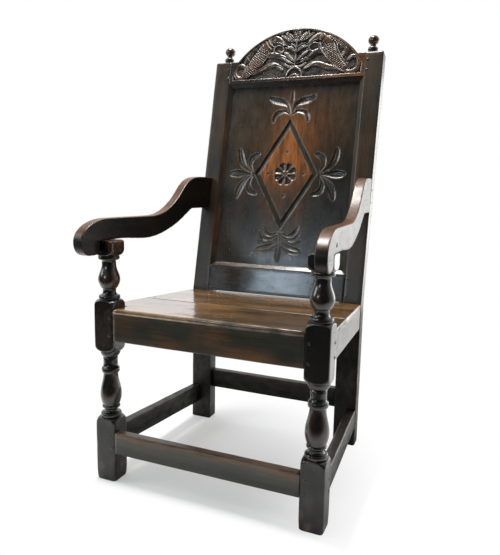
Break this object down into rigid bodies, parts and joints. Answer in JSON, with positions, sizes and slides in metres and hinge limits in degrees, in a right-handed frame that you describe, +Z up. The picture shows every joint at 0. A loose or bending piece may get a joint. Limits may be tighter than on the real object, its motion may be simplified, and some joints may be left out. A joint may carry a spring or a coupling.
{
  "type": "panel-back armchair",
  "caption": "Joined oak armchair with a raked panelled back, an arched carved crest, scrolled arms, turned front posts, a boarded seat and plain stretchers.",
  "frame": {"origin": "on the floor, at the middle of the chair's overall width and depth", "axes": "+X to the right of someone who faces the chair, -Y towards its front, +Z up"},
  "size_m": [0.5922, 0.7272, 1.2177],
  "materials": {
    "frame_oak": "very dark brown oak under old wax, worn lighter on its edges",
    "turned_oak": "very dark brown turned oak, waxed to a gloss",
    "arm_oak": "dark brown oak, rubbed red-brown and glossy on top",
    "seat_oak": "mid-brown oak, polished and scratched by use",
    "panel_oak": "dark red-brown oak, warmer in the middle, under wax",
    "carved_oak": "dark carved oak, with dirt in its hollows and shine on its high parts",
    "peg_oak": "dark end grain"
  },
  "bodies": {
    "root": {"arm_left": "arm_oak", "arm_pegs": "peg_oak", "arm_right": "arm_oak", "back_frame_pegs": "peg_oak", "back_panel": "panel_oak", "crest_rail": "carved_oak", "finial_left": "turned_oak", "finial_right": "turned_oak", "front_post_left": "turned_oak", "front_post_right": "turned_oak", "front_seat_rail": "frame_oak", "front_stretcher": "frame_oak", "lower_back_rail": "frame_oak", "rear_post_left": "frame_oak", "rear_post_right": "frame_oak", "rear_seat_rail": "frame_oak", "rear_stretcher": "frame_oak", "seat_board_front": "seat_oak", "seat_board_pegs": "peg_oak", "seat_board_rear": "seat_oak", "seat_rail_pegs": "peg_oak", "side_seat_rail_left": "frame_oak", "side_seat_rail_right": "frame_oak", "side_stretcher_left": "frame_oak", "side_stretcher_right": "frame_oak", "stretcher_pegs": "peg_oak"}
  },
  "joints": []
}
